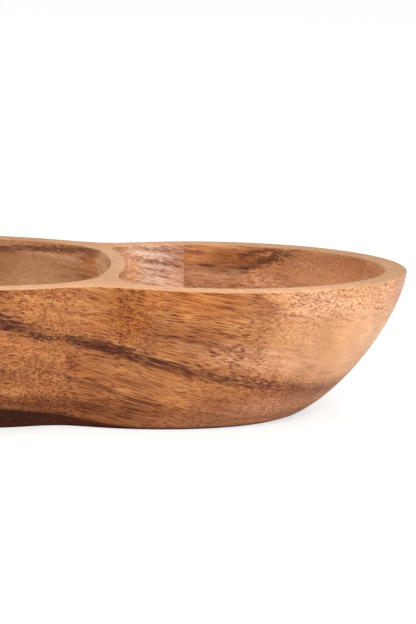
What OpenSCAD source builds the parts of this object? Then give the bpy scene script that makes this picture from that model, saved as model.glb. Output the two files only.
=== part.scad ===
// Divided serving bowl: three carved sections in line, made from a blank of
// hardwood blocks that are glued face to face, three staves wide and three blocks long.
// The origin is on the table under the middle of the bowl. X runs along the bowl,
// Y runs from the front (-) to the back (+), and Z is up.

/* [Outline of the rim] */
// Length of the whole bowl over the rim
bowl_l = 381; // [330:1:470]
// Width over the rim at the middle section
bowl_w = 129; // [108:1:160]
// Width over the rim at each end section
end_w = 119; // [100:1:145]
// Length of the oval that shapes the middle section
mid_l = 174; // [156:1:210]
// Length of the oval that shapes each end section
end_l = 163; // [146:1:190]
// How tightly the ovals blend at the waists: more is tighter
waist_power = 7.5; // [3:0.1:9]
// Width of the flat rim along the sides
rim_w = 7.8; // [6:0.1:10]
// Width of the flat rim at the two ends of the bowl
rim_end_w = 9.2; // [7:0.1:12]
// Height and width of the small easing along the edges of the rim
rim_ease = 0.8; // [0.4:0.1:1.2]

/* [Outside of the body] */
// Height from the table to the rim
bowl_h = 63.5; // [52:0.5:80]
// Length of the flat base
base_l = 282; // [230:1:300]
// Width of the flat base under the middle section
base_mid_w = 80; // [66:1:92]
// Width of the flat base under each end section
base_end_w = 72; // [60:1:80]
// Width that the middle wall would come down to if the slope under it didn't cut it off
wall_foot_w = 94.5; // [92:0.5:108]
// Height of the crease under the middle section, where the wall turns in to the base
crease_h = 12; // [8:0.5:16]
// Height of the small easing round the base under the end sections
base_ease = 1.5; // [1:0.1:3]
// Distance from the middle, along the rim, at which the crease starts to come down
crease_from = 10; // [5:1:30]
// Distance from the middle, along the rim, at which the crease has come down
crease_to = 94; // [80:1:120]
// Roundness of the outside wall: 1 is a straight slope, 2 is a quarter of an oval
outside_round = 1.43; // [1.25:0.01:1.8]

/* [Sections inside] */
// Thickness of the floor
floor_t = 12; // [9:0.5:16]
// Thickness of a divider at its top
divider_t = 6.6; // [5:0.1:9]
// Distance from the middle of the bowl to the inner face of a divider, at its top
divider_x = 64.5; // [56:0.5:74]
// Radius of a divider's curved inner face
divider_r = 98; // [80:0.5:140]
// Distance over which the wall and a divider blend in the corners of the middle section
mid_blend = 10; // [8:0.5:18]
// The same in the front corner of an end section, which is carved softer
front_blend = 26; // [10:0.5:32]
// The same in the back corner of an end section, which is carved sharper
back_blend = 5; // [4:0.5:18]
// Length of the middle section's floor
mid_floor_l = 98; // [76:1:104]
// Width of the middle section's floor
mid_floor_w = 80; // [60:1:86]
// Length of an end section's floor
end_floor_l = 52; // [40:1:60]
// Width of an end section's floor
end_floor_w = 66; // [50:1:72]
// How far a divider's outer face runs out at its foot
divider_foot = 6; // [4:0.5:10]
// Roundness of the inside walls: 1 is a straight slope, 2 is a quarter of an oval
inside_round = 1.65; // [1.4:0.05:2]

/* [Blocks of the blank] */
// Width of the centre stave
stave_w = 44; // [36:1:52]
// Length of a full block
block_l = 141; // [120:1:150]
// Place of the front stave's right-hand joint, from the middle
front_joint_x = 48; // [40:1:60]
// Place of the centre stave's right-hand joint, from the middle
centre_joint_x = 117; // [100:1:125]
// Place of the back stave's right-hand joint, from the middle
back_joint_x = 96; // [80:1:105]

/* [Hidden] */

// How far a cut runs past the body
cut_over = 5;
// Points round the outside, round the middle section and round an end section
outside_points = 80;
mid_points = 48;
end_points = 40;
// Steps down the outside wall and down an inside wall
outside_steps = 7;
inside_steps = 6;
// Degrees that bring the points closer together along the sides
crowd = 8.6;
// Halvings in the search for a section's edge
halvings = 24;

// Middle of the oval of an end section
end_x = (bowl_l - end_l) / 2;
// Middle of the circle of a divider's faces, and the place of its outer face
divider_cx = divider_x - divider_r;
divider_out = divider_x + divider_t;
// Right-hand end of an end section, its length and its middle
section_end = bowl_l / 2 - rim_end_w;
section_l = section_end - divider_out;
section_x = (section_end + divider_out) / 2;

function smooth(u) = let (c = min(max(u, 0), 1)) c * c * (3 - 2 * c);

// A quarter round from 0 at the top of a wall to 1 at its foot
function round_in(v, power) = 1 - pow(1 - pow(v, power), 1 / power);

function soft_min(a, b, blend) =
    min(a, b) - pow(max(blend - abs(a - b), 0), 2) / (4 * blend);

function oval(d, half_l, half_w) = half_w * sqrt(max(0, 1 - pow(d / half_l, 2)));

// Half the width of the bowl at x: three ovals that blend at the waists. The outline is
// drawn in by one width along the sides and by another at the two ends of the bowl.
function half_width(x, side_inset, end_inset) =
    let (
        middle = oval(x, mid_l / 2 - side_inset, bowl_w / 2 - side_inset),
        end = oval(abs(x) - end_x, end_l / 2 - end_inset, end_w / 2 - side_inset)
    )
    pow(pow(middle, waist_power) + pow(end, waist_power), 1 / waist_power);

function rim_point(k, inset) =
    let (
        turn = 360 * k / outside_points,
        a = turn + crowd * sin(2 * turn),
        x = (bowl_l / 2 - inset) * cos(a)
    )
    [x, (sin(a) < 0 ? -1 : 1) * half_width(x, inset, inset)];

// 1 at the middle of the bowl and 0 at the end sections
function middle_share(x) = 1 - smooth((abs(x) - crease_from) / (crease_to - crease_from));

function mixed(a, b, share) = a + (b - a) * share;

function outside_point(k, step) =
    let (
        rim = rim_point(k, 0),
        middle = middle_share(rim.x),
        wall_h = bowl_h - rim_ease,
        crease = mixed(base_ease, crease_h, middle),
        v = (1 - crease / wall_h) * sin(90 * step / outside_steps),
        in = round_in(v, outside_round),
        foot_share = mixed(base_end_w / end_w, wall_foot_w / bowl_w, middle)
    )
    [
        rim.x * mixed(1, base_l / bowl_l, in),
        rim.y * mixed(1, foot_share, in),
        wall_h * (1 - v)
    ];

function base_point(k) =
    let (
        rim = rim_point(k, 0),
        width_share = mixed(base_end_w / end_w, base_mid_w / bowl_w, middle_share(rim.x))
    )
    [rim.x * base_l / bowl_l, rim.y * width_share, 0];

// How far inside the middle section, or inside an end section, a place on the rim plane is
function mid_room(p) = soft_min(
    half_width(p.x, rim_w, rim_end_w) - abs(p.y),
    divider_r - norm([abs(p.x) - divider_cx, p.y]), mid_blend);

function end_room(p) = soft_min(
    half_width(p.x, rim_w, rim_end_w) - abs(p.y),
    norm([p.x - divider_cx, p.y]) - divider_r - divider_t,
    p.y < 0 ? front_blend : back_blend);

// Distance from a section's middle to its edge, by halving
function edge_distance(is_middle, centre, a, near, far, left) =
    let (
        half = (near + far) / 2,
        p = centre + half * [cos(a), sin(a)],
        room = is_middle ? mid_room(p) : end_room(p)
    )
    left == 0 ? half
        : room > 0 ? edge_distance(is_middle, centre, a, half, far, left - 1)
        : edge_distance(is_middle, centre, a, near, half, left - 1);

function section_edge(is_middle, centre, count) = [
    for (k = [0 : count - 1])
        let (a = 360 * k / count)
        centre + edge_distance(is_middle, centre, a, 0, bowl_l / 2, halvings) * [cos(a), sin(a)]
];

// The floor point under a point of the section's edge
function mid_floor(p) =
    [p.x * mid_floor_l / (2 * divider_x), p.y * mid_floor_w / (bowl_w - 2 * rim_w)];

function end_floor(p) = [
    divider_out + divider_foot + (p.x - divider_out) * end_floor_l / section_l,
    p.y * end_floor_w / (end_w - 2 * rim_w)
];

// A closed solid through rows of points, from the top row down to the bottom row
module loft(rows) {
    count = len(rows[0]);
    last = len(rows) - 1;
    points = [for (row = rows) each row];
    top_centre = [0, 0, rows[0][0].z] + centre_of(rows[0]);
    base_centre = [0, 0, rows[last][0].z] + centre_of(rows[last]);
    sides = [
        for (r = [0 : last - 1], k = [0 : count - 1])
            let (
                next = (k + 1) % count,
                a = r * count + k, b = r * count + next,
                c = a + count, d = b + count
            )
            each [[a, b, c], [b, d, c]]
    ];
    top = [for (k = [0 : count - 1]) [k, len(points), (k + 1) % count]];
    base = [
        for (k = [0 : count - 1])
            [last * count + k, last * count + (k + 1) % count, len(points) + 1]
    ];
    polyhedron([each points, top_centre, base_centre], [each sides, each top, each base]);
}

// Middle of a row's outline, at no height
function centre_of(row) =
    let (xs = [for (p = row) p.x], ys = [for (p = row) p.y])
    [(min(xs) + max(xs)) / 2, (min(ys) + max(ys)) / 2, 0];

module outside() {
    around = [0 : outside_points - 1];
    loft([
        [for (k = around) let (p = rim_point(k, rim_ease)) [p.x, p.y, bowl_h]],
        for (step = [0 : outside_steps]) [for (k = around) outside_point(k, step)],
        [for (k = around) base_point(k)]
    ]);
}

// The hollow of a section, from just over the rim down to its floor
module hollow(is_middle, centre, count) {
    edge = section_edge(is_middle, centre, count);
    top = bowl_h - rim_ease;
    mouth = [
        for (p = edge)
            let (out = p + 2 * rim_ease * (p - centre) / norm(p - centre))
            [out.x, out.y, bowl_h + rim_ease]
    ];
    wall = [
        for (step = [0 : inside_steps])
            let (v = sin(90 * step / inside_steps), in = round_in(v, inside_round))
            [
                for (p = edge)
                    let (foot = is_middle ? mid_floor(p) : end_floor(p))
                    [mixed(p.x, foot.x, in), mixed(p.y, foot.y, in), mixed(top, floor_t, v)]
            ]
    ];
    loft([mouth, each wall]);
}

module mid_hollow() {
    hollow(true, [0, 0], mid_points);
}

module end_hollow() {
    hollow(false, [section_x, 0], end_points);
}

// The part of the carved bowl between two joints of the blank
module block(x_range, y_range) {
    x_low = x_range[0];
    x_high = x_range[1];
    difference() {
        intersection() {
            outside();
            translate([x_low, y_range[0], -cut_over])
                cube([x_high - x_low, y_range[1] - y_range[0], bowl_h + 2 * cut_over]);
        }
        if (x_low < divider_x && x_high > -divider_x) mid_hollow();
        if (x_high > divider_x) end_hollow();
        if (x_low < -divider_x) mirror([1, 0, 0]) end_hollow();
    }
}

// Ends of a stave's three blocks, from the place of its right-hand joint
function left_range(joint_x) = [-bowl_l / 2 - cut_over, joint_x - block_l];
function middle_range(joint_x) = [joint_x - block_l, joint_x];
function right_range(joint_x) = [joint_x, bowl_l / 2 + cut_over];

front_stave = [-bowl_w / 2 - cut_over, -stave_w / 2];
centre_stave = [-stave_w / 2, stave_w / 2];
back_stave = [stave_w / 2, bowl_w / 2 + cut_over];

module front_left_block() {
    color("#c27d45") block(left_range(front_joint_x), front_stave);
}

module front_middle_block() {
    color("#bd7a48") block(middle_range(front_joint_x), front_stave);
}

module front_right_block() {
    color("#c9854c") block(right_range(front_joint_x), front_stave);
}

module centre_left_block() {
    color("#d09a63") block(left_range(centre_joint_x), centre_stave);
}

module centre_middle_block() {
    color("#c08a58") block(middle_range(centre_joint_x), centre_stave);
}

module centre_right_block() {
    color("#d79c62") block(right_range(centre_joint_x), centre_stave);
}

module back_left_block() {
    color("#b07a50") block(left_range(back_joint_x), back_stave);
}

module back_middle_block() {
    color("#a8705a") block(middle_range(back_joint_x), back_stave);
}

module back_right_block() {
    color("#b87848") block(right_range(back_joint_x), back_stave);
}

front_left_block();
front_middle_block();
front_right_block();
centre_left_block();
centre_middle_block();
centre_right_block();
back_left_block();
back_middle_block();
back_right_block();
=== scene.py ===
# %% [markdown]
# This lesson builds a divided serving bowl of oiled acacia wood. It is taken to be carved from
# a blank that a maker glued from nine blocks, three staves wide and three blocks long, with
# the end joints staggered. The joints then run straight through walls, dividers and floor. The
# photograph doesn't prove a single one of them: a bowl carved from one plank would look alike.
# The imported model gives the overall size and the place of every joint. It is loaded first, and
# nothing in it is moved.

# %% Load the frame
import math

import bmesh
import bpy
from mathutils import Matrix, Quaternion, Vector


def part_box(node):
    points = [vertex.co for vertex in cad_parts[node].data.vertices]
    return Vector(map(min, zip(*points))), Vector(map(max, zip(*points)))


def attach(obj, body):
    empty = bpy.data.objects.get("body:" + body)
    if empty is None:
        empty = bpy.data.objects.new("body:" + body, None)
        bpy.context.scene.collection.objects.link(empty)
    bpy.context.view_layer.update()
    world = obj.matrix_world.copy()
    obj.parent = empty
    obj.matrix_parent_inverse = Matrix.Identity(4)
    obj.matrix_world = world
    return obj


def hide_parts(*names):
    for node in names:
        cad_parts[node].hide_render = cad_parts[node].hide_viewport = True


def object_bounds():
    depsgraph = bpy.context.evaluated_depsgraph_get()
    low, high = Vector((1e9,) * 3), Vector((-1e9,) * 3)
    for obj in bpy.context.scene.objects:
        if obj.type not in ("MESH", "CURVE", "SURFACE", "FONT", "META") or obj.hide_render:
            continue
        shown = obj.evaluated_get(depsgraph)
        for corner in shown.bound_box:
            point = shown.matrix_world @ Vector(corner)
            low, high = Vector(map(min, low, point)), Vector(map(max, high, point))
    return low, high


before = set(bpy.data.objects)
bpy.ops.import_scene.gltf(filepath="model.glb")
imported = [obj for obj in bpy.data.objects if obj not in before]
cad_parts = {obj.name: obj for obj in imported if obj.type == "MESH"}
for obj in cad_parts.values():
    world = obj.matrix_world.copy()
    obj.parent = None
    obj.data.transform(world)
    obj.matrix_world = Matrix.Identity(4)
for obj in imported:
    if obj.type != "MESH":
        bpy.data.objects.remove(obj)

MM = 0.001
cad_low, cad_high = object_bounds()
print("the packed bowl in mm:", [round(side / MM, 1) for side in cad_high - cad_low])

# %% [markdown]
# The camera comes first, because everything visible is seen through it. It looks a little
# down at the right-hand end of the bowl with a long lens, as the photograph does. A long lens
# flattens the perspective, so the far rim is almost as long as the near one. The place and the
# turns were found by matching the outline of the rim and of the base. The slight roll is the
# tilt with which the picture was taken.

# %% Camera
CAMERA_PLACE = Vector((90.6, -1209.1, 284.5)) * MM
CAMERA_YAW = math.radians(0.75)
CAMERA_PITCH = math.radians(11.285)
CAMERA_ROLL = math.radians(1.197)
LENS_MM = 166.94

bpy.ops.object.select_all(action="DESELECT")
bpy.ops.object.camera_add(location=CAMERA_PLACE)
camera = bpy.context.object
aim = Vector((
    math.sin(CAMERA_YAW) * math.cos(CAMERA_PITCH),
    math.cos(CAMERA_YAW) * math.cos(CAMERA_PITCH),
    -math.sin(CAMERA_PITCH),
))
turn = aim.to_track_quat("-Z", "Y") @ Quaternion((0, 0, 1), CAMERA_ROLL)
camera.rotation_euler = turn.to_euler()
camera.data.lens = LENS_MM
camera.data.clip_start = 0.05
bpy.context.scene.camera = camera
print("camera", round((camera.location - (cad_low + cad_high) / 2).length, 3), "m from the bowl")

# %% [markdown]
# The rim's outline is three ovals in line, a wide one between two narrower ones, that blend
# softly at the waists. It could be traced with a curve, but a formula keeps both ends alike and
# lets every other line of the bowl follow from it: the inner edge of the rim is the same
# outline drawn in by the rim's width, which is a little more at the two ends than along the
# sides. The sizes are in millimetres until they are multiplied by MM.

# %% Outline of the rim
bowl_l = cad_high.x - cad_low.x
bowl_w = cad_high.y - cad_low.y
bowl_h = cad_high.z
END_W = 119 * MM
MID_L = 174 * MM
END_L = 163 * MM
WAIST_POWER = 7.5
RIM_W = 7.8 * MM
RIM_END_W = 9.2 * MM
end_x = (bowl_l - END_L) / 2


def oval(distance, half_length, half_w):
    """Half the width of an oval at a distance from its middle, and 0 past its ends."""
    return half_w * math.sqrt(max(0, 1 - (distance / half_length) ** 2))


def half_width(x, side_inset, end_inset):
    """Half the bowl's width at x, drawn in along the sides and at the two ends."""
    middle = oval(x, MID_L / 2 - side_inset, bowl_w / 2 - side_inset)
    end = oval(abs(x) - end_x, END_L / 2 - end_inset, END_W / 2 - side_inset)
    return (middle ** WAIST_POWER + end ** WAIST_POWER) ** (1 / WAIST_POWER)


for x in (0, 60, 85, 110, 150):
    print("at", x, "mm the bowl is", round(2 * half_width(x * MM, 0, 0) / MM, 1), "mm wide")

# %% [markdown]
# Both the outside and the hollows are stacks of rings. Each starts as a circle whose points
# are put on the outline, and is then extruded row by row, every new row placed by the same
# formula. That is how a turner would think of the shape, as a profile that travels round, and
# it gives clean rows of four-sided faces that shade smoothly and bevel well. The numbers that
# each point carries let a row find its places whatever order the extrusion made them in.

# %% Tools for rings
def start_ring(name, count):
    """Add a circle whose points know their number round the ring, and open it in edit mode."""
    bpy.ops.object.select_all(action="DESELECT")
    bpy.ops.mesh.primitive_circle_add(vertices=count, radius=bowl_w)
    ring = bpy.context.object
    ring.name = ring.data.name = name
    number = ring.data.attributes.new("around", "INT", "POINT")
    number.data.foreach_set("value", range(count))
    bpy.ops.object.mode_set(mode="EDIT")
    bpy.ops.mesh.select_all(action="SELECT")
    return ring


def place_row(places, ease):
    """Put the selected points in their places, and weight their edges for the rounding."""
    mesh = bmesh.from_edit_mesh(bpy.context.object.data)
    weight = mesh.edges.layers.float.get("bevel_weight_edge")
    if weight is None:
        weight = mesh.edges.layers.float.new("bevel_weight_edge")
    number = mesh.verts.layers.int["around"]
    for vert in mesh.verts:
        if vert.select:
            vert.co = places[vert[number]]
    for edge in mesh.edges:
        if edge.select:
            edge[weight] = ease
    bmesh.update_edit_mesh(bpy.context.object.data)


def stack(name, rows):
    """Build rows of points into a wall, close its last row, and leave its first row open."""
    ring = start_ring(name, len(rows[0][0]))
    place_row(*rows[0])
    for row in rows[1:]:
        bpy.ops.mesh.extrude_region_move()
        place_row(*row)
    bpy.ops.mesh.edge_face_add()
    bpy.ops.object.mode_set(mode="OBJECT")
    print(name, len(rows), "rows,", len(ring.data.polygons), "faces")
    return ring


def drawn_in(row, distance):
    """A row of points moved inwards, square to its own line, or outwards if negative."""
    places = []
    for k, place in enumerate(row):
        along = row[(k + 1) % len(row)] - row[k - 1]
        inwards = Vector((-along.y, along.x, 0)).normalized()
        places.append(place + inwards * distance)
    return places


def smooth(u):
    """From 0 to 1 as u goes from 0 to 1, with a soft start and a soft end."""
    u = min(max(u, 0), 1)
    return u * u * (3 - 2 * u)


def round_in(v, power):
    """A quarter round from 0 at the top of a wall to 1 at its foot."""
    return 1 - (1 - v ** power) ** (1 / power)


def mixed(a, b, share):
    return a + (b - a) * share


print("a quarter round is", round(round_in(0.5, 2), 2), "of the way in at half its height")

# %% [markdown]
# The outside falls straight from the rim and rounds in towards a base that is a good deal
# shorter and narrower. Under the middle section the wall stops at a soft crease, and the
# underside slopes in from there, which gives the bowl its waisted foot. Going along the rim
# the crease sinks until it is only the eased edge of the base. The rows are spaced by a sine,
# so they crowd towards the foot, where the wall curves most. The points of a row would crowd
# at the two ends, so they are shifted a little from there towards the long sides.

# %% Outside of the body
BASE_L = 282 * MM
BASE_MID_W = 80 * MM
BASE_END_W = 72 * MM
WALL_FOOT_W = 94.5 * MM
CREASE_H = 12 * MM
BASE_EASE = 1.5 * MM
CREASE_FROM = 10 * MM
CREASE_TO = 94 * MM
OUTSIDE_ROUND = 1.43
RIM_EASE = 0.8 * MM
RIM_FLAT = 1.8 * MM
ROUNDING = 0.75 * MM
CREASE_WEIGHT = 0.75
BASE_WEIGHT = 0.5
OUTSIDE_POINTS = 480
POINTS_SHIFT = math.radians(8.6)
OUTSIDE_ROWS = 26
UNDERSIDE_ROWS = 5
wall_h = bowl_h - RIM_EASE


def middle_share(x):
    """1 at the middle of the bowl and 0 at the end sections."""
    return 1 - smooth((abs(x) - CREASE_FROM) / (CREASE_TO - CREASE_FROM))


def rim_outline():
    points = []
    for k in range(OUTSIDE_POINTS):
        angle = 2 * math.pi * k / OUTSIDE_POINTS
        angle += POINTS_SHIFT * math.sin(2 * angle)
        x = bowl_l / 2 * math.cos(angle)
        side = -1 if math.sin(angle) < 0 else 1
        points.append(Vector((x, side * half_width(x, 0, 0), bowl_h)))
    return points


def outside_place(rim, row):
    """The point of a wall row under a point of the rim."""
    middle = middle_share(rim.x)
    crease = mixed(BASE_EASE, CREASE_H, middle)
    v = (1 - crease / wall_h) * math.sin(math.pi / 2 * row / OUTSIDE_ROWS)
    inwards = round_in(v, OUTSIDE_ROUND)
    foot_share = mixed(BASE_END_W / END_W, WALL_FOOT_W / bowl_w, middle)
    return Vector((
        rim.x * mixed(1, BASE_L / bowl_l, inwards),
        rim.y * mixed(1, foot_share, inwards),
        wall_h * (1 - v),
    ))


def base_place(rim):
    """The point of the base's edge under a point of the rim."""
    width_share = mixed(BASE_END_W / END_W, BASE_MID_W / bowl_w, middle_share(rim.x))
    return Vector((rim.x * BASE_L / bowl_l, rim.y * width_share, 0))


rim = rim_outline()
crease_row = [outside_place(point, OUTSIDE_ROWS) for point in rim]
base_row = [base_place(point) for point in rim]
rows = [(drawn_in(rim, RIM_FLAT), 0), (rim, 1)]
rows += [([outside_place(p, row) for p in rim], 0) for row in range(OUTSIDE_ROWS)]
rows.append((crease_row, CREASE_WEIGHT))
for row in range(1, UNDERSIDE_ROWS):
    share = row / UNDERSIDE_ROWS
    rows.append(([a.lerp(b, share) for a, b in zip(crease_row, base_row)], 0))
rows += [(base_row, BASE_WEIGHT), (drawn_in(base_row, RIM_FLAT), 0)]
bowl = stack("bowl_outside", rows)

# %% [markdown]
# Each hollow is carved with its own edge: the inner line of the rim, and at each divider an arc
# that bulges towards the end of the bowl. Where wall and arc meet, the cutter leaves a soft
# corner, which a smooth minimum of the two distances gives. Carved by hand, the front corners
# of the end sections came out softer than the back ones. The edge is found by looking outwards
# from the hollow's middle, and halving again and again the stretch that it lies in.

# %% Edges of the hollows
DIVIDER_T = 6.6 * MM
DIVIDER_X = 64.5 * MM
DIVIDER_R = 98 * MM
MID_BLEND = 10 * MM
FRONT_BLEND = 26 * MM
BACK_BLEND = 5 * MM
HALVINGS = 30
divider_cx = DIVIDER_X - DIVIDER_R
divider_out = DIVIDER_X + DIVIDER_T
section_end = bowl_l / 2 - RIM_END_W
section_x = (section_end + divider_out) / 2


def soft_min(a, b, blend):
    """The smaller of two distances, less where they differ by under blend, for a soft corner."""
    return min(a, b) - max(blend - abs(a - b), 0) ** 2 / (4 * blend)


def middle_room(x, y):
    """How far inside the middle section a place on the rim's plane is."""
    wall = half_width(x, RIM_W, RIM_END_W) - abs(y)
    return soft_min(wall, DIVIDER_R - math.hypot(abs(x) - divider_cx, y), MID_BLEND)


def end_room(x, y):
    """The same for the right-hand end section."""
    wall = half_width(x, RIM_W, RIM_END_W) - abs(y)
    arc = math.hypot(x - divider_cx, y) - DIVIDER_R - DIVIDER_T
    return soft_min(wall, arc, FRONT_BLEND if y < 0 else BACK_BLEND)


def hollow_edge(room, middle_x, count):
    """Points all round a hollow, where the room inside it comes to nothing."""
    points = []
    for k in range(count):
        angle = 2 * math.pi * k / count
        near, far = 0, bowl_l / 2
        for _ in range(HALVINGS):
            half = (near + far) / 2
            x, y = middle_x + half * math.cos(angle), half * math.sin(angle)
            if room(x, y) > 0:
                near = half
            else:
                far = half
        points.append(Vector((x, y, bowl_h)))
    return points


print("end section in mm: from", round(divider_out / MM, 1), "to", round(section_end / MM, 1))

# %% [markdown]
# The inside walls drop steeply and sweep into a flat floor. A hollow is a stack of rings too:
# a flat row on the rim, the edge itself, the wall's rows, and the floor, whose outline is the
# edge's outline drawn smaller. The left hollow is the right one mirrored, so the mirror is
# applied and its faces are turned the right way again later on.

# %% Hollows
FLOOR_T = 12 * MM
MID_FLOOR_L = 98 * MM
MID_FLOOR_W = 80 * MM
END_FLOOR_L = 52 * MM
END_FLOOR_W = 66 * MM
DIVIDER_FOOT = 6 * MM
INSIDE_ROUND = 1.65
HOLLOW_POINTS = 300
HOLLOW_ROWS = 24


def middle_floor(p):
    """The place on the floor's edge that belongs to a place p on the middle section's edge."""
    width_share = MID_FLOOR_W / (bowl_w - 2 * RIM_W)
    return Vector((p.x * MID_FLOOR_L / (2 * DIVIDER_X), p.y * width_share, FLOOR_T))


def end_floor(p):
    """The same for the right-hand end section."""
    along_share = END_FLOOR_L / (section_end - divider_out)
    return Vector((
        divider_out + DIVIDER_FOOT + (p.x - divider_out) * along_share,
        p.y * END_FLOOR_W / (END_W - 2 * RIM_W),
        FLOOR_T,
    ))


def hollow(name, edge, floor_place):
    rows = [(drawn_in(edge, -RIM_FLAT), 0), (edge, 1)]
    for row in range(1, HOLLOW_ROWS + 1):
        v = math.sin(math.pi / 2 * row / HOLLOW_ROWS)
        inwards = round_in(v, INSIDE_ROUND)
        places = []
        for point in edge:
            place = point.lerp(floor_place(point), inwards)
            place.z = mixed(wall_h, FLOOR_T, v)
            places.append(place)
        rows.append((places, 0))
    rows.append((drawn_in(places, RIM_FLAT), 0))
    return stack(name, rows)


middle_hollow = hollow("middle_hollow", hollow_edge(middle_room, 0, HOLLOW_POINTS), middle_floor)
right_hollow = hollow("right_hollow", hollow_edge(end_room, section_x, HOLLOW_POINTS), end_floor)
bpy.ops.object.select_all(action="DESELECT")
right_hollow.select_set(True)
bpy.ops.object.duplicate()
left_hollow = bpy.context.object
bpy.ops.transform.mirror(constraint_axis=(True, False, False), orient_type="GLOBAL")
bpy.ops.object.transform_apply(location=True, rotation=True, scale=True)

# %% [markdown]
# The outside and the three hollows are joined into one object, and the flat top of the rim and
# the dividers is filled in between their open rows. Filling works here because all open rows
# lie in one plane. A Boolean cut would do the same job, but it leaves ragged faces round the
# edge that is rounded next. The rounding follows the weights: fully on the rim's edges, less on
# the crease and the base.

# %% One closed bowl
ROUNDING_STEPS = 4

bpy.ops.object.select_all(action="DESELECT")
for part in (middle_hollow, right_hollow, left_hollow, bowl):
    part.select_set(True)
bpy.context.view_layer.objects.active = bowl
bpy.ops.object.join()
bpy.ops.object.mode_set(mode="EDIT")
bpy.ops.mesh.select_mode(type="EDGE")
bpy.ops.mesh.select_all(action="DESELECT")
bpy.ops.mesh.select_non_manifold(
    use_boundary=True, use_wire=False, use_multi_face=False,
    use_non_contiguous=False, use_verts=False,
)
bpy.ops.mesh.fill(use_beauty=True)
bpy.ops.mesh.select_all(action="SELECT")
bpy.ops.mesh.normals_make_consistent(inside=False)
bpy.ops.object.mode_set(mode="OBJECT")
rounding = bowl.modifiers.new("rounding", "BEVEL")
rounding.limit_method = "WEIGHT"
rounding.width = ROUNDING
rounding.segments = ROUNDING_STEPS
rounding.use_clamp_overlap = False
bpy.ops.object.modifier_apply(modifier=rounding.name)
check = bmesh.new()
check.from_mesh(bowl.data)
open_edges = sum(not edge.is_manifold for edge in check.edges)
print("closed bowl:", len(bowl.data.polygons), "faces,", open_edges, "open edges,",
      round(check.calc_volume() / MM ** 3), "mm3")
check.free()

# %% [markdown]
# The nine blocks come from the closed bowl as they do in the workshop, only in the other order:
# a copy of the bowl is cut at each joint and the cut is closed. Two neighbours share the plane
# of their joint exactly, so no gap or step shows, as on a blank that was glued well.

# %% The saw
CUT_MARGIN = 1e-7
SMOOTH_UNDER = math.radians(35)


def cut_away(place, outwards):
    """Cut the mesh in edit mode with a plane, drop what lies outwards, and close the cut."""
    bpy.ops.mesh.select_all(action="SELECT")
    bpy.ops.mesh.bisect(
        plane_co=place, plane_no=outwards, use_fill=True, clear_outer=True, threshold=CUT_MARGIN
    )


def saw_block(name, x_range, y_range):
    """A copy of the bowl, cut down to a range along it and one across it; None is no cut."""
    bpy.ops.object.select_all(action="DESELECT")
    bowl.select_set(True)
    bpy.context.view_layer.objects.active = bowl
    bpy.ops.object.duplicate()
    block = bpy.context.object
    block.name = block.data.name = name
    bpy.ops.object.mode_set(mode="EDIT")
    for axis, (low, high) in (((1, 0, 0), x_range), ((0, 1, 0), y_range)):
        if low is not None:
            cut_away(Vector(axis) * low, -Vector(axis))
        if high is not None:
            cut_away(Vector(axis) * high, Vector(axis))
    bpy.ops.mesh.select_all(action="SELECT")
    bpy.ops.mesh.normals_make_consistent(inside=False)
    bpy.ops.object.mode_set(mode="OBJECT")
    bpy.ops.object.shade_smooth_by_angle(angle=SMOOTH_UNDER)
    return block


print("faces that meet at less than", round(math.degrees(SMOOTH_UNDER)), "degrees look smooth")

# %% [markdown]
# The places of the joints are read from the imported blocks. The sides of the centre stave's
# middle block give the two joints along the bowl, and the ends of each stave's middle block
# give its two end joints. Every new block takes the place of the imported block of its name.

# %% Blocks of the blank
centre_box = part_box("centre_middle_block")
stave_sides = {
    "front": (None, centre_box[0].y),
    "centre": (centre_box[0].y, centre_box[1].y),
    "back": (centre_box[1].y, None),
}
blocks = {}


def saw_stave(stave, y_range):
    """Saw one stave's three blocks, and say which packed blocks they stand for."""
    low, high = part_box(stave + "_middle_block")
    for part, x_range in (
        ("left", (None, low.x)), ("middle", (low.x, high.x)), ("right", (high.x, None))
    ):
        node = f"{stave}_{part}_block"
        block = saw_block(f"{stave}_{part}_wood", x_range, y_range)
        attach(block, "root")
        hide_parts(node)
        blocks[f"{stave}_{part}"] = block
        print(node, len(block.data.polygons), "faces")


for stave, y_range in stave_sides.items():
    saw_stave(stave, y_range)
bpy.data.objects.remove(bowl)

# %% [markdown]
# Colours are written as the hex values that a colour picker shows, and the shader needs them as
# linear light, so one function turns them. A second one adds a shader node with its settings,
# its values and its links, which keeps the recipe for the wood below short enough to read.

# %% Tools for finishes
def linear(hex_colour):
    """A colour written as an sRGB hex value, as the linear numbers that shaders use."""
    parts = [int(hex_colour[i:i + 2], 16) / 255 for i in (1, 3, 5)]
    return [c / 12.92 if c <= 0.04045 else ((c + 0.055) / 1.055) ** 2.4 for c in parts] + [1]


def node(tree, kind, inputs, stops=(), **settings):
    """Add a shader node with its settings, its values or links, and a ramp's colour stops."""
    made = tree.nodes.new("ShaderNode" + kind)
    for key, value in settings.items():
        setattr(made, key, value)
    for key, value in inputs.items():
        if isinstance(value, bpy.types.NodeSocket):
            tree.links.new(value, made.inputs[key])
        else:
            made.inputs[key].default_value = value
    for k, (place, colour) in enumerate(stops):
        stop = made.color_ramp.elements[k] if k < 2 else made.color_ramp.elements.new(place)
        stop.position, stop.color = place, linear(colour)
    return made


print("mid brown in linear light:", [round(part, 3) for part in linear("#C48552")])

# %% [markdown]
# Acacia is a warm orange-brown hardwood with wavy growth layers, dark streaks of heartwood, and
# open pores that show as short reddish-brown dashes where the surface runs along the grain and
# as dots where it cuts across. All of that is one solid pattern that the carving cuts through,
# so the pattern is built in space, on Object coordinates turned to millimetres, and not wrapped
# round the surface. First come the grain's own directions: along it, across it, and through
# its layers. A slow bend, in waves about 70 mm long, keeps any layer from being quite flat.

# %% Directions of the grain
BEND_SIZE = (70, 40, 28)
BEND_BY = (0, 8, 10)


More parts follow.
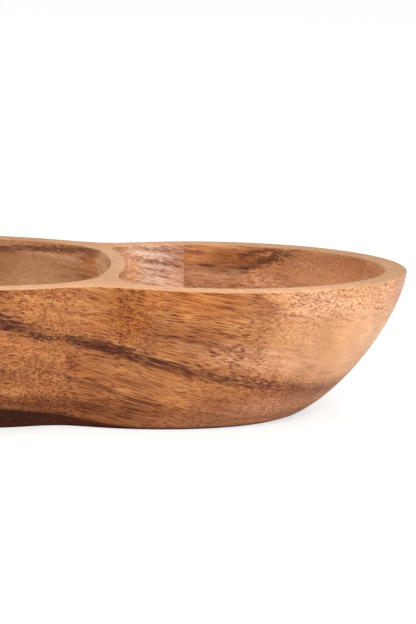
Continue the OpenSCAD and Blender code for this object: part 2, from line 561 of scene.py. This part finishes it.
def grain_directions(tree, place, tilt, shift):
    """Places in millimetres of the grain, which falls by tilt degrees: straight, and bent."""
    straight = node(tree, "Mapping", {
        "Vector": place, "Location": shift, "Rotation": (0, math.radians(tilt), 0),
    }, vector_type="TEXTURE").outputs[0]
    slow = node(tree, "Mapping", {"Vector": straight, "Scale": BEND_SIZE}, vector_type="TEXTURE")
    waves = node(tree, "TexNoise", {"Vector": slow.outputs[0], "Scale": 1, "Detail": 1})
    bend = node(tree, "VectorMath", {0: waves.outputs["Color"], 1: (0.5, 0.5, 0.5)},
                operation="SUBTRACT").outputs[0]
    bent = node(tree, "VectorMath", {0: bend, 1: BEND_BY, 2: straight},
                operation="MULTIPLY_ADD").outputs[0]
    return straight, bent


print("the grain bends sideways by up to", max(BEND_BY) / 2, "mm")

# %% [markdown]
# The growth layers are some 8 mm thick, and a tone runs on for about 120 mm along the grain.
# A noise of that size picks the tone, and a ramp of the board's own tones gives the colour. A
# noise seldom leaves its middle range, so that range alone is spread over the whole ramp. Over
# it lie fine fibres, 12 mm long and half a millimetre thick, and thin dark lines that follow
# the layers. Real fibres are much finer; these are drawn as coarse as they need to be to show
# in the picture.

# %% Layers, fibres and lines
LAYER_SIZE = (120, 22, 8)
FIBRE_SIZE = (12, 0.7, 0.5)
LINE_SIZE = (45, 6, 1.5)
NOISE_RANGE = {"From Min": 0.3, "From Max": 0.7}


def layer_colour(tree, bent, tones):
    """The colour of the growth layers, out of the board's tones from dark to pale."""
    layer = node(tree, "Mapping", {"Vector": bent, "Scale": LAYER_SIZE}, vector_type="TEXTURE")
    tone = node(tree, "TexNoise", {
        "Vector": layer.outputs[0], "Scale": 1, "Detail": 3, "Roughness": 0.55,
    }).outputs[0]
    spread = node(tree, "MapRange", {"Value": tone, **NOISE_RANGE}).outputs[0]
    return node(tree, "ValToRGB", {0: spread}, stops=tones).outputs[0]


def fibres_and_lines(tree, bent):
    """Two noises drawn out along the grain, a fine one and a longer one."""
    fine = node(tree, "Mapping", {"Vector": bent, "Scale": FIBRE_SIZE}, vector_type="TEXTURE")
    fibres = node(tree, "TexNoise", {
        "Vector": fine.outputs[0], "Scale": 1, "Detail": 2, "Roughness": 0.6,
    }).outputs[0]
    thin = node(tree, "Mapping", {"Vector": bent, "Scale": LINE_SIZE}, vector_type="TEXTURE")
    drawn = node(tree, "TexNoise", {"Vector": thin.outputs[0], "Scale": 1, "Detail": 2}).outputs[0]
    return fibres, drawn


print("layers", LAYER_SIZE[2], "mm thick, fibres", FIBRE_SIZE[0], "mm long")

# %% [markdown]
# What is special about a board, such as a heartwood streak, a mineral stain or a pale zone, is
# a spot: a long soft ellipsoid inside the board. A board's list gives for each spot its centre
# and its radii in millimetres of the bowl, its tilt in degrees, how soft it is, its colour and
# its strength. The edge is frayed by the fibres, because stains spread along them. Up and down
# the fraying is 3 mm deep at most, so a thin streak shows it in full and a large zone hardly at
# all. It comes from the two noises of the fibres, whose sum lies about 1.

# %% Spots inside a board
FRAYING = 0.42
FRAYED_IN_FULL = 8
SUM_RANGE = {"From Min": 0.7, "From Max": 1.3}


def fraying(tree, fibres, drawn):
    """How far the fibres push a spot's edge in or out, as a share of its radii."""
    both = node(tree, "Math", {0: fibres, 1: drawn}, operation="ADD").outputs[0]
    return node(tree, "MapRange", {
        "Value": both, "To Min": -FRAYING, "To Max": FRAYING, **SUM_RANGE,
    }).outputs[0]


def spot(tree, place, ragged, centre, radii, turn, soft):
    """1 inside a tilted ellipsoid, fading to 0 over the soft share of its radii."""
    tilted = (0, math.radians(turn), 0)
    moved = node(tree, "Mapping", {
        "Vector": place, "Location": centre, "Rotation": tilted, "Scale": radii,
    }, vector_type="TEXTURE")
    away = node(tree, "VectorMath", {0: moved.outputs[0]}, operation="LENGTH").outputs["Value"]
    frayed = min(1, FRAYED_IN_FULL / radii[2])
    uneven = node(tree, "Math", {0: ragged, 1: frayed, 2: away},
                  operation="MULTIPLY_ADD").outputs[0]
    fade = {"Value": uneven, "From Min": 1 - soft, "From Max": 1, "To Min": 1, "To Max": 0}
    return node(tree, "MapRange", fade, interpolation_type="SMOOTHSTEP").outputs[0]


def with_spots(tree, place, ragged, colour, spots):
    """The board's colour with its spots laid over it, one after the other."""
    for centre, radii, turn, soft, stain, strength in spots:
        inside = spot(tree, place, ragged, centre, radii, turn, soft)
        share = node(tree, "Math", {0: inside, 1: strength}, operation="MULTIPLY").outputs[0]
        colour = node(tree, "Mix", {0: share, 6: colour, 7: linear(stain)},
                      data_type="RGBA").outputs[2]
    return colour


print("spots up to", 2 * FRAYED_IN_FULL, "mm thick fray in full")

# %% [markdown]
# The pores are made with cells that are stretched along the grain, 9 mm long and 0.6 mm wide.
# Each cell holds one pore, a needle of mostly 4 mm by 0.3 mm, and a random number of the cell
# makes it wide, thin or none at all. Real pores are a little finer than that; they are drawn
# this coarse so that they show at the size of the picture. A second set of shorter cells gives
# the dots of the places where the fibres come up to the surface.

# %% Pores
DASH_CELL = (9, 0.62, 0.62)
DOT_CELL = (1.6, 0.6, 0.6)
PORE_EDGE = 0.16


def pores(tree, grain, cell, amount):
    """1 in a pore and 0 beside it; amount is the pore's largest radius, in cells."""
    cells = node(tree, "Mapping", {"Vector": grain, "Scale": cell}, vector_type="TEXTURE")
    found = node(tree, "TexVoronoi", {"Vector": cells.outputs[0], "Scale": 1}, feature="F1")
    chance = node(tree, "SeparateColor", {0: found.outputs["Color"]}).outputs[0]
    radius = node(tree, "Math", {0: chance, 1: amount}, operation="MULTIPLY").outputs[0]
    depth = node(
        tree, "Math", {0: radius, 1: found.outputs["Distance"]}, operation="SUBTRACT"
    ).outputs[0]
    edge = {"Value": depth, "From Min": 0, "From Max": PORE_EDGE}
    return node(tree, "MapRange", edge).outputs[0]


print("room for", round(1000 / (DASH_CELL[0] * DASH_CELL[1])), "long pores in 10 square cm")

# %% [markdown]
# Pores and fibres aren't even over a board. A zone is a spot that changes no colour, but adds
# to the amount of dashes, of dots and of fibre shade inside it, or takes from them. A board's
# list gives for each zone its centre, its radii and these three changes.

# %% Zones of a board
ZONE_SOFT = 0.8


def amounts_in_zones(tree, place, ragged, tilt, amounts, zones):
    """The board's amounts of dashes, dots and fibre shade, changed inside its zones."""
    for centre, radii, *changes in zones:
        inside = spot(tree, place, ragged, centre, radii, tilt, ZONE_SOFT)
        for k, change in enumerate(changes):
            amounts[k] = node(tree, "Math", {0: inside, 1: change, 2: amounts[k]},
                              operation="MULTIPLY_ADD").outputs[0]
    return amounts


print("a zone fades over", round(100 * ZONE_SOFT), "per cent of its radii")

# %% [markdown]
# The underside, below the crease of the middle section, is painted darker with the same grain:
# a painted shade for the shadow that falls under the waist. It was never rubbed, so it is duller
# too. The painted shade's upper edge lies just under the crease, 11.6 mm high in the middle of
# the bowl, and sinks to 1.2 mm on its way to the end sections, about as the crease does in the
# shape.

# %% Underside
# Painted shade: this colour darkens the underside and stands in for the shadow under the waist.
PAINTED_UNDERSIDE_SHADE = "#85604F"
CREASE_SINKS = {"From Min": 14, "From Max": 80, "To Min": 11.6, "To Max": 1.2}
CREASE_BLUR = 0.8


def below_crease(tree, sides):
    """1 on the underside, where the painted shade goes, and 0 above it."""
    away = node(tree, "Math", {0: sides[0]}, operation="ABSOLUTE").outputs[0]
    crease = node(tree, "MapRange", {"Value": away, **CREASE_SINKS},
                  interpolation_type="SMOOTHSTEP").outputs[0]
    below = node(tree, "Math", {0: crease, 1: sides[2]}, operation="SUBTRACT").outputs[0]
    edge = {"Value": below, "From Min": -CREASE_BLUR, "From Max": CREASE_BLUR}
    return node(tree, "MapRange", edge).outputs[0]


# Painted shade lies below this height in the middle of the bowl.
print("oiled heavily below", CREASE_SINKS["To Min"], "mm in the middle")

# %% [markdown]
# The flat top of the rim was sanded finest, took the least oil and stayed pale and dull. It is
# palest along the front, where the paleness is partly a painted highlight for the light that the
# front edge catches, and about the right-hand divider. The sanding dust closed its pores,
# and the fibres only just show.

# %% Top of the rim
RIM_BACK = "#B68E6B"
RIM_FRONT_HIGHLIT = "#DCAC83"
RIM_FIBRES = 0.35
FRONT_HALF = {"From Min": -20, "From Max": -58}
PALE_PLACE = (86, 12, 63)
PALE_RADII = (80, 76, 60)


def rim_colour(tree, place, ragged, sides, shade):
    """The colour of the rim's pale wood, with a painted highlight along the front, for every place
    on the rim.
    """
    # Partly painted highlight: the front half of the rim is paler, as where the front edge catches
    # the light.
    front = node(tree, "MapRange", {"Value": sides[1], **FRONT_HALF},
                 interpolation_type="SMOOTHSTEP").outputs[0]
    by_divider = spot(tree, place, ragged, PALE_PLACE, PALE_RADII, turn=0, soft=0.6)
    half = node(tree, "Math", {0: by_divider, 1: 0.5}, operation="MULTIPLY").outputs[0]
    palest = node(tree, "Math", {0: front, 1: half}, operation="MAXIMUM").outputs[0]
    sanded_and_highlit = node(tree, "Mix", {0: palest, 6: linear(RIM_BACK), 7: linear(RIM_FRONT_HIGHLIT)},
                  data_type="RGBA").outputs[2]
    return node(tree, "Mix", {0: RIM_FIBRES, 6: sanded_and_highlit, 7: shade},
                data_type="RGBA", blend_type="MULTIPLY").outputs[2]


print("rim from", RIM_BACK, "at the back to", RIM_FRONT_HIGHLIT, "at the front")

# %% [markdown]
# Elsewhere the finish is a thin coat of oil rubbed satin: moderately rough, with a faint clearer
# sheen. The pores took up more of the oil and shine less. The rim and the underside are dull.
# Fibres and pores are a few hundredths of a millimetre deep, which a bump is enough for.

# %% Sheen and relief
DULL = 0.85
RELIEF_MM = 0.04


def oil_finish(tree, dry, pore, fibres):
    """Set how the wood shines, with dry 1 where it is dull, and how its surface feels."""
    surface = tree.nodes["Principled BSDF"]
    oiled = node(tree, "MapRange", {"Value": pore, "To Min": 0.4, "To Max": 0.65}).outputs[0]
    rough = node(tree, "Mix", {0: dry, 2: oiled, 3: DULL}).outputs[0]
    tree.links.new(rough, surface.inputs["Roughness"])
    surface.inputs["IOR"].default_value = 1.42
    surface.inputs["Specular IOR Level"].default_value = 0.25
    surface.inputs["Coat Weight"].default_value = 0.03
    surface.inputs["Coat Roughness"].default_value = 0.3
    height = node(tree, "Math", {0: fibres, 1: pore}, operation="SUBTRACT").outputs[0]
    relief = node(tree, "Bump", {"Height": height, "Distance": RELIEF_MM * MM, "Strength": 0.6})
    tree.links.new(relief.outputs[0], surface.inputs["Normal"])


print("relief of", RELIEF_MM, "mm")

# %% [markdown]
# The recipe for one board puts these steps together: the layers' tones and the board's spots,
# then the shade of the fibres and the thin lines, then a silky sheen in bands across the grain,
# 13 mm wide, painted into the colour for the light that fibres leaning to and fro throw back.
# The underside is darkened after that with painted shade. Then come the pores, which end where
# the rim's edge rounds over, and last the rim.

# %% One board of acacia
RIBBON_SIZE = (13, 30, 26)
PAINTED_SHEEN = {"From Min": 0.35, "From Max": 0.65, "To Min": 0.86, "To Max": 1.06}
LINE_BROWN = "#7A4432"
LINE_SHARE = {"From Min": 0.52, "From Max": 0.66, "To Min": 0}
FIBRE_SHADE = ((0.34, "#BE9078"), (0.58, "#FFFFFF"))
PORE_SHADE = "#9C6450"
PORE_STRENGTH = 0.88
RIM_SANDED = 0.85
RIM_TOP = {"From Min": 62.8, "From Max": 63.3}


def acacia(name, tilt, shift, tones, spots, dashes, dots, lines, zones=()):
    """An oiled acacia board, its grain falling by tilt degrees towards the bowl's right end."""
    wood = bpy.data.materials.new(name)
    wood.use_nodes = True
    tree = wood.node_tree
    where = node(tree, "TexCoord", {}).outputs["Object"]
    place = node(tree, "VectorMath", {0: where, "Scale": 1 / MM}, operation="SCALE").outputs[0]
    sides = node(tree, "SeparateXYZ", {0: place}).outputs
    straight, bent = grain_directions(tree, place, tilt, shift)
    fibres, drawn = fibres_and_lines(tree, bent)
    ragged = fraying(tree, fibres, drawn)
    colour = with_spots(tree, place, ragged, layer_colour(tree, bent, tones), spots)

    amounts = amounts_in_zones(tree, place, ragged, tilt, [dashes, dots, 1.0], zones)
    shade = node(tree, "ValToRGB", {0: fibres}, stops=FIBRE_SHADE).outputs[0]
    colour = node(tree, "Mix", {0: amounts[2], 6: colour, 7: shade},
                  data_type="RGBA", blend_type="MULTIPLY").outputs[2]
    line = node(tree, "MapRange", {"Value": drawn, "To Max": lines, **LINE_SHARE}).outputs[0]
    faint = node(tree, "Math", {0: line, 1: amounts[2]}, operation="MULTIPLY").outputs[0]
    colour = node(tree, "Mix", {0: faint, 6: colour, 7: linear(LINE_BROWN)},
                  data_type="RGBA").outputs[2]
    # Painted sheen: bands across the grain make the colour lighter and darker.
    across = node(tree, "Mapping", {
        "Vector": straight, "Scale": RIBBON_SIZE,
    }, vector_type="TEXTURE").outputs[0]
    ribbon = node(tree, "TexNoise", {"Vector": across, "Scale": 1, "Detail": 2}).outputs[0]
    painted_sheen = node(tree, "MapRange", {"Value": ribbon, **PAINTED_SHEEN}).outputs[0]
    colour = node(tree, "VectorMath", {0: colour, "Scale": painted_sheen}, operation="SCALE").outputs[0]
    # Painted shade: the underside below the crease is darkened.
    under = below_crease(tree, sides)
    colour = node(tree, "Mix", {0: under, 6: colour, 7: linear(PAINTED_UNDERSIDE_SHADE)},
                  data_type="RGBA", blend_type="MULTIPLY").outputs[2]

    rim_top = node(tree, "MapRange", {"Value": sides[2], **RIM_TOP}).outputs[0]
    open_share = node(tree, "Math", {0: 1.0, 1: rim_top}, operation="SUBTRACT").outputs[0]
    open_pores = []
    for cell, amount in ((DASH_CELL, amounts[0]), (DOT_CELL, amounts[1])):
        left = node(tree, "Math", {0: amount, 1: open_share}, operation="MULTIPLY").outputs[0]
        open_pores.append(pores(tree, bent, cell, left))
    pore = node(tree, "Math", {0: open_pores[0], 1: open_pores[1]}, operation="MAXIMUM").outputs[0]
    dark = node(tree, "Mix", {0: 1.0, 6: colour, 7: linear(PORE_SHADE)},
                data_type="RGBA", blend_type="MULTIPLY").outputs[2]
    stained = node(tree, "Math", {0: pore, 1: PORE_STRENGTH}, operation="MULTIPLY").outputs[0]
    colour = node(tree, "Mix", {0: stained, 6: colour, 7: dark}, data_type="RGBA").outputs[2]

    # The rim's colour, with a painted highlight along the front.
    sanded_and_highlit = rim_colour(tree, place, ragged, sides, shade)
    pale = node(tree, "Math", {0: rim_top, 1: RIM_SANDED}, operation="MULTIPLY").outputs[0]
    colour = node(tree, "Mix", {0: pale, 6: colour, 7: sanded_and_highlit}, data_type="RGBA").outputs[2]
    tree.links.new(colour, tree.nodes["Principled BSDF"].inputs["Base Color"])
    dry = node(tree, "Math", {0: rim_top, 1: under}, operation="MAXIMUM").outputs[0]
    oil_finish(tree, dry, pore, fibres)
    print(name, len(tree.nodes), "nodes")
    return wood

# %% [markdown]
# The boards themselves. Each plank has its own tilt, its own place in the pattern and its own
# tones. The right-hand end is sawn from one plank, so the front block there and the centre one
# share a finish and no joint shows round the end. The front block of the middle is the next
# length of the same plank. Its dark streak lies higher and climbs to the left, which gives the
# small step that the streak seems to have in the photograph.

# %% Boards of the front and the right-hand end
ORANGE_TONES = ((0, "#965B32"), (0.35, "#B57443"), (0.65, "#C6864F"), (1, "#D89D64"))
HEARTWOOD = "#562817"
FRONT_TILT = 13

front_spots = (
    # Painted shade: this spot darkens the front towards its foot, above the crease.
    ((40, -50, 10), (76, 30, 11), 3, 0.9, "#6E3A1A", 0.8),
    ((62, -44, 19.5), (28, 30, 2.4), 18, 0.9, "#643820", 0.75),
)
front_end_spots = front_spots + (
    ((74, -50, 58), (18, 30, 26), 0, 0.8, "#BE7430", 0.75),
    ((104, -56, 61), (42, 30, 14), 8, 0.7, "#C47C3A", 0.75),
    # Partly painted highlight: this pale zone is the end's paler wood and also stands in for light
    # from the right.
    ((178, -25, 47), (84, 80, 58), 8, 0.9, "#F8C396", 0.93),
    ((154, -46, 57), (26, 30, 9), 10, 0.8, "#FFCFA2", 0.8),
    ((158, -40, 42), (20, 34, 18), 6, 0.9, "#D4945E", 0.5),
    ((128, -52, 45), (24, 30, 13), 8, 0.9, "#B87A48", 0.5),
    ((124, -45, 34), (42, 30, 9), 10, 0.9, "#EAB488", 0.75),
    ((104, -48, 27.6), (72, 44, 4.2), 13, 0.9, "#6A3424", 0.75),
    ((62, -46, 38), (46, 44, 4.6), 13, 0.85, HEARTWOOD, 0.85),
    ((146, -40, 18), (42, 40, 6), 11, 0.9, "#8A4A34", 0.8),
    ((120, -6, 14), (60, 2.6, 10), 0, 0.9, "#7A4424", 0.6),
    ((128, 9, 14), (50, 4, 10), 0, 0.9, "#D8A070", 0.6),
    ((76, -46, 27), (20, 30, 5), 10, 0.8, "#DC9C60", 0.65),
    ((98, -46, 20), (30, 30, 6), 8, 0.8, "#E2A268", 0.6),
    # Painted light: this spot lightens the foot against the shadow where it meets the floor.
    ((108, -40, 4), (38, 30, 8), 0, 0.9, "#DCA070", 0.45),
    ((130, -42, 10), (38, 30, 8), 0, 0.9, "#D09A84", 0.45),
    ((176, 8, 56), (14, 24, 14), 0, 0.9, "#C88A58", 0.6),
    # Painted light: this spot lightens the divider's right face, which stands in shade.
    ((70, -30, 57), (6, 12, 12), 0, 0.6, "#FFC48A", 0.85),
)
front_end_zones = (
    ((105, -50, 42), (36, 30, 18), 0.22, 0, 0),
    ((166, -30, 33), (54, 60, 24), -0.38, -0.32, -0.75),
    ((152, -46, 58), (30, 24, 8), 0.1, 0.1, 0),
    ((72, -50, 48), (14, 30, 26), 0.1, 0.35, 0),
    ((180, -34, 57), (16, 20, 10), -0.15, 0.22, 0),
    ((176, 8, 54), (16, 26, 20), -0.3, -0.3, -0.5),
)
front_end = acacia(
    "acacia_right_end", FRONT_TILT, (0, 0, 0), ORANGE_TONES, front_end_spots,
    dashes=0.48, dots=0.35, lines=0.25, zones=front_end_zones,
)
front_middle_spots = front_spots + (
    ((10, -54, 54), (52, 40, 8), 20, 0.9, "#6C4028", 0.7),
    ((12, -54, 53.2), (52, 40, 4.6), 20, 0.9, HEARTWOOD, 0.95),
    ((38, -50, 35), (60, 30, 6), 16, 0.9, "#DC985E", 0.6),
    ((22, -54, 27), (28, 30, 8), 4, 0.9, "#8A4E28", 0.68),
    ((22, -60, 62), (16, 30, 4), 0, 0.8, "#8E5226", 0.6),
)
front_middle = acacia(
    "acacia_front", FRONT_TILT, (0, 0, 0), ORANGE_TONES, front_middle_spots,
    dashes=0.48, dots=0.5, lines=0.25,
)

# %% [markdown]
# The back stave is darker and more figured. Its streaks are purple-brown, with pale fibres
# between them, and they fall to the right inside the right-hand section until the end joint
# cuts them off. In the next block a dark streak climbs to the rim instead. The middle block of
# the centre stave is sawn from the same plank as the back one.

# %% Board of the back and the middle
BACK_TONES = ((0, "#94603C"), (0.4, "#B47C50"), (0.7, "#C48E66"), (1, "#DCAC84"))
back_middle_spots = (
    ((30, 50, 44), (56, 40, 18), 0, 0.8, "#C29268", 0.85),
    ((8, 54, 52), (20, 30, 16), 0, 0.9, "#965A30", 0.55),
    ((32, 50, 60), (54, 34, 2.4), -4, 0.8, "#643E2A", 0.82),
    # Painted light: this spot lightens the corner by the divider, where shade falls.
    ((56, 36, 55), (9, 20, 8), 0, 0.8, "#DA985E", 0.75),
    ((10, 7, 12), (90, 3, 10), 0, 0.9, "#7C4828", 0.6),
    ((-4, -11, 12), (80, 4, 10), 0, 0.9, "#8E5830", 0.6),
    ((20, -2, 12), (70, 5, 10), 0, 0.9, "#D8A070", 0.5),
    # Painted light: this spot lightens the divider's left face, which faces away from the main
    # lamp.
    ((61, 22, 58), (8, 22, 10), 0, 0.8, "#F2C498", 0.8),
    ((84, 38, 54), (28, 26, 24), 0, 0.6, "#FFD8BC", 0.88),
    ((94, 46, 55), (15, 24, 12), 0, 0.9, "#BC7440", 0.52),
    ((72, 34, 52), (10, 30, 12), 0, 0.7, "#E0A066", 0.75),
    ((90, 48, 62.8), (12, 24, 1.4), 6, 0.9, "#DCA078", 0.5),
    ((83, 48, 61.2), (16, 24, 1.2), 7, 0.9, "#A87264", 0.7),
    ((83, 48, 58.9), (17, 24, 0.9), 9, 0.8, "#FFE6D4", 0.8),
    ((83, 48, 55.6), (17, 24, 1.5), 12, 0.9, "#915C54", 0.75),
    ((90, 48, 54.6), (9, 24, 0.9), 12, 0.8, "#7C4A40", 0.6),
    ((88, 48, 53), (11, 24, 1), 11, 0.9, "#F8D4BC", 0.7),
    ((84, 48, 52), (14, 24, 0.8), 12, 0.9, "#9C6650", 0.65),
    ((87, 48, 49), (14, 24, 0.8), 14, 0.9, "#A8643E", 0.6),
    # Painted light: this spot lightens the divider's right face, which stands in shade.
    ((70, -6, 57), (6, 26, 12), 0, 0.6, "#FFC890", 0.9),
)
back_middle_zones = (
    ((25, 54, 44), (56, 34, 38), -0.2, -0.3, -0.65),
    ((82, 47, 56), (20, 20, 16), -0.2, -0.35, -0.3),
    ((58, 16, 54), (16, 34, 20), -0.25, -0.4, -0.6),
)
back_middle = acacia(
    "acacia_back", 12, (90, 25, 31), BACK_TONES, back_middle_spots,
    dashes=0.3, dots=0.4, lines=0.35, zones=back_middle_zones,
)

# %% [markdown]
# The right-hand block of the back stave is the one with the streak that climbs to the rim. It
# is browner below it and orange under the rim. The left-hand end is out of the picture, so it
# is a plain orange board with one streak, which falls the other way.

# %% Boards of the right-hand back and the left-hand end
back_right_spots = (
    ((158, 38, 54), (54, 40, 18), 0, 0.9, "#C48A5C", 0.78),
    ((134, 46, 49), (40, 30, 7), 0, 0.9, "#D49A6E", 0.7),
    ((147, 44, 59), (16, 30, 5), 0, 0.9, "#A8704C", 0.5),
    ((172, 24, 58), (26, 24, 16), 0, 0.9, "#C27E4A", 0.55),
    ((102, 50, 58), (12, 30, 8), 0, 0.8, "#DA9462", 0.5),
    ((116, 50, 57), (28, 30, 5), 0, 0.9, "#AE6832", 0.6),
    ((106, 52, 62), (24, 30, 2), 0, 0.8, "#EBAB6E", 0.75),
    ((99, 50, 57.4), (6, 30, 2.5), 0, 0.8, "#EBA862", 0.55),
    ((101, 50, 60), (6, 30, 1.4), 0, 0.8, "#9A5C40", 0.7),
    ((112, 50, 53), (18, 30, 3), 3, 0.9, "#925638", 0.5),
    ((105.4, 50, 54.2), (6, 30, 1.5), 7, 0.8, "#5E3628", 0.75),
    ((124, 48, 57), (13, 30, 5), 0, 0.8, "#8A5028", 0.45),
    ((132, 48, 57.1), (20, 30, 2.7), -21, 0.8, "#54301C", 0.82),
    ((128, 49, 60.6), (13, 30, 1.6), -12, 0.8, "#6A3A20", 0.8),
)
back_right_zones = (
    ((165, 35, 55), (44, 40, 30), -0.25, -0.4, -0.5),
    ((110, 50, 57), (24, 20, 12), -0.2, -0.15, -0.3),
)
back_right = acacia(
    "acacia_back_end", 4, (20, 70, 10), BACK_TONES, back_right_spots,
    dashes=0.35, dots=0.5, lines=0.3, zones=back_right_zones,
)
left_end_spots = (
    ((-110, -40, 34), (80, 60, 2.8), -10, 0.8, HEARTWOOD, 0.85),
)
left_end = acacia(
    "acacia_left_end", -9, (55, 95, 22), ORANGE_TONES, left_end_spots,
    dashes=0.42, dots=0.35, lines=0.35,
)

# %% [markdown]
# Each board's finish goes on the blocks that are sawn from it. The cut faces of the joints are
# the same wood, so they need nothing of their own.

# %% Finishes on the blocks
wood_of = {
    "front_left": left_end, "front_middle": front_middle, "front_right": front_end,
    "centre_left": left_end, "centre_middle": back_middle, "centre_right": front_end,
    "back_left": left_end, "back_middle": back_middle, "back_right": back_right,
}
for name, block in blocks.items():
    block.data.materials.clear()
    block.data.materials.append(wood_of[name])
print(len(set(wood_of.values())), "boards on", len(blocks), "blocks")

# %% [markdown]
# The bowl stands on a plain white surface under soft light, as for a catalogue. The world is a
# white tent. What the camera, a reflection or a clear material sees of it is pure white, and
# the light that it gives is weaker, so that the lamps can shape the bowl.

# %% White tent
TENT_LIGHT = 0.63

bpy.context.scene.view_settings.view_transform = "Standard"
if bpy.context.scene.world is None:
    bpy.context.scene.world = bpy.data.worlds.new("studio")
world = bpy.context.scene.world
world.use_nodes = True


def seen_by_eye(tree):
    """1 for camera rays and for the rays that reflections and clear things send out, else 0."""
    ray = node(tree, "LightPath", {}).outputs
    seen = node(tree, "Math", {0: ray["Is Camera Ray"], 1: ray["Is Glossy Ray"]},
                operation="MAXIMUM").outputs[0]
    return node(tree, "Math", {0: seen, 1: ray["Is Transmission Ray"]},
                operation="MAXIMUM").outputs[0]


tree = world.node_tree
strength = node(tree, "MapRange", {
    "Value": seen_by_eye(tree), "To Min": TENT_LIGHT, "To Max": 1,
}).outputs[0]
tree.links.new(strength, tree.nodes["Background"].inputs["Strength"])
tree.nodes["Background"].inputs["Color"].default_value = (1, 1, 1, 1)
print("the tent shines at", TENT_LIGHT, "of the white that it shows")

# %% [markdown]
# The floor is white to the camera and a light grey to the light, so that it doesn't glow on the
# underside more than a real table does. To the camera it shines a little by itself, over a
# darker grey, which makes it white and still leaves the bowl's shadow on it. Under the bowl the
# floor is dark, and a reflection there has to show that, so this glow is left out of
# reflections near the bowl and comes back at three times its outline. The floor lies a hair
# lower than the base, so that the two faces don't share one plane.

# %% White floor
FLOOR_SIZE = 8
FLOOR_GAP = 0.05 * MM
FLOOR_LIT = "#E4E4E4"
FLOOR_SEEN = "#B4B4B4"
FLOOR_GLOW = 0.65
SHADED_TO = 1.2
GLOWING_FROM = 3

bpy.ops.object.select_all(action="DESELECT")
bpy.ops.mesh.primitive_plane_add(size=FLOOR_SIZE, location=(0, 0, -FLOOR_GAP))
floor = bpy.context.object
floor.name = floor.data.name = "floor"
paper = bpy.data.materials.new("white_paper")
paper.use_nodes = True
tree = paper.node_tree
surface = tree.nodes["Principled BSDF"]
place = node(tree, "TexCoord", {}).outputs["Object"]
footprint = node(tree, "Mapping", {
    "Vector": place, "Scale": (bowl_l / 2, bowl_w / 2, 1),
}, vector_type="TEXTURE").outputs[0]
away = node(tree, "VectorMath", {0: footprint}, operation="LENGTH").outputs["Value"]
shaded = node(tree, "MapRange", {
    "Value": away, "From Min": SHADED_TO, "From Max": GLOWING_FROM, "To Min": 1, "To Max": 0,
}, interpolation_type="SMOOTHSTEP").outputs[0]
mirrored = node(tree, "LightPath", {}).outputs["Is Glossy Ray"]
hidden = node(tree, "Math", {0: shaded, 1: mirrored}, operation="MULTIPLY").outputs[0]
seen = node(tree, "Math", {0: seen_by_eye(tree), 1: hidden}, operation="SUBTRACT").outputs[0]
colour = node(tree, "Mix", {0: seen, 6: linear(FLOOR_LIT), 7: linear(FLOOR_SEEN)},
              data_type="RGBA").outputs[2]
tree.links.new(colour, surface.inputs["Base Color"])
glow = node(tree, "Math", {0: seen, 1: FLOOR_GLOW}, operation="MULTIPLY").outputs[0]
tree.links.new(glow, surface.inputs["Emission Strength"])
surface.inputs["Emission Color"].default_value = (1, 1, 1, 1)
surface.inputs["Specular IOR Level"].default_value = 0
surface.inputs["Roughness"].default_value = 1
floor.data.materials.append(paper)
print("floor", FLOOR_SIZE, "m wide,", round(FLOOR_GAP / MM, 2), "mm below the base")

# %% [markdown]
# The main lamp is large, high, and in front on the right. Two weak ones, overhead and on the
# left, light the hollows and the sides of the dividers. All three point at the bowl.

# %% Lamps
LAMP_SIZE = 0.9
LAMPS = (
    (Vector((0.75, -1.45, 1.1)), 26),
    (Vector((0.25, 0.1, 1.6)), 4),
    (Vector((-1.3, 0.1, 0.8)), 6),
)

for lamp_place, watts in LAMPS:
    bpy.ops.object.select_all(action="DESELECT")
    bpy.ops.object.light_add(type="AREA", location=lamp_place)
    lamp = bpy.context.object
    lamp.data.size = LAMP_SIZE
    lamp.data.energy = watts
    lamp.rotation_euler = (-lamp_place).to_track_quat("-Z", "Y").to_euler()
    print("lamp of", watts, "W,", round(lamp_place.length, 2), "m away")
